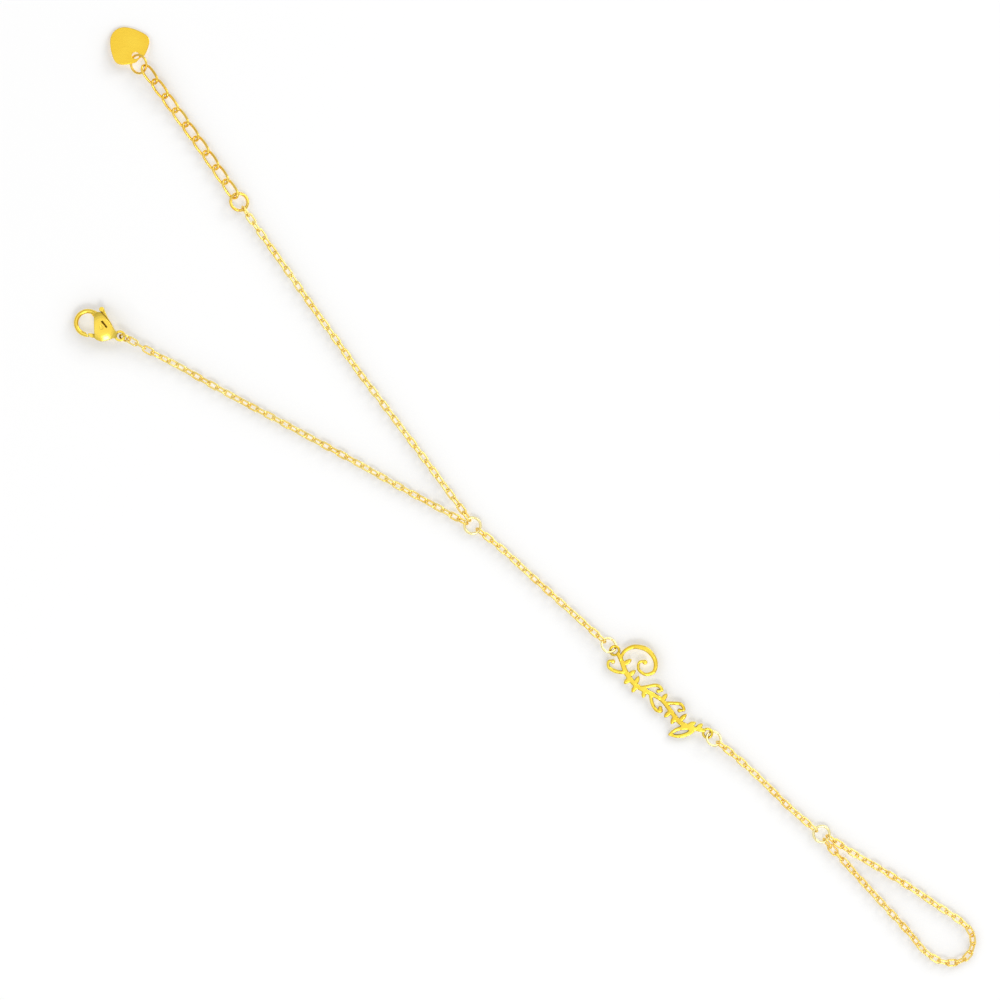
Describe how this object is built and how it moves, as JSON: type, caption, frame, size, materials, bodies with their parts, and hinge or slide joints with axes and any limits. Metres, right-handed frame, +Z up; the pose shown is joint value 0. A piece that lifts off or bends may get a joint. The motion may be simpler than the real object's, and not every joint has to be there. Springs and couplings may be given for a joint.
{
  "type": "nameplate hand chain",
  "caption": "Fine gold-coloured chain round the wrist with lobster clasp, extender and heart tag, and along the hand with a pierced scroll plate to a finger loop.",
  "frame": {"origin": "middle of the chain as it lies, on the floor", "axes": "+X along the hand from the centre ring towards the finger loop, +Y across, towards the extender's arm, +Z up"},
  "size_m": [0.2382, 0.051, 0.0028],
  "materials": {
    "gold": "polished, gold plated",
    "pale_gold": "polished, gold plated"
  },
  "bodies": {
    "chain": {"heart_tag": "gold", "tag_ring": "gold", "extender_chain": "pale_gold", "extender_ring": "gold", "wrist_chain_long": "gold", "centre_ring": "pale_gold", "wrist_chain_short": "gold", "clasp_ring": "gold", "clasp_body": "gold", "clasp_pin": "pale_gold", "hand_chain_upper": "gold", "plate_ring_upper": "pale_gold", "nameplate": "pale_gold", "plate_ring_lower": "pale_gold", "hand_chain_lower": "gold", "finger_ring": "pale_gold", "finger_loop_chain": "gold"},
    "lever": {"clasp_lever": "pale_gold"}
  },
  "joints": [
    {"name": "lever_hinge", "type": "hinge", "parent": "chain", "child": "lever", "pos_m": [-0.08351, -0.02181, 0.00143], "axis": [0, 0, -1], "range_deg": [0, 28], "stiffness_Nm_per_rad": 0.005, "springref_deg": -17.19}
  ]
}
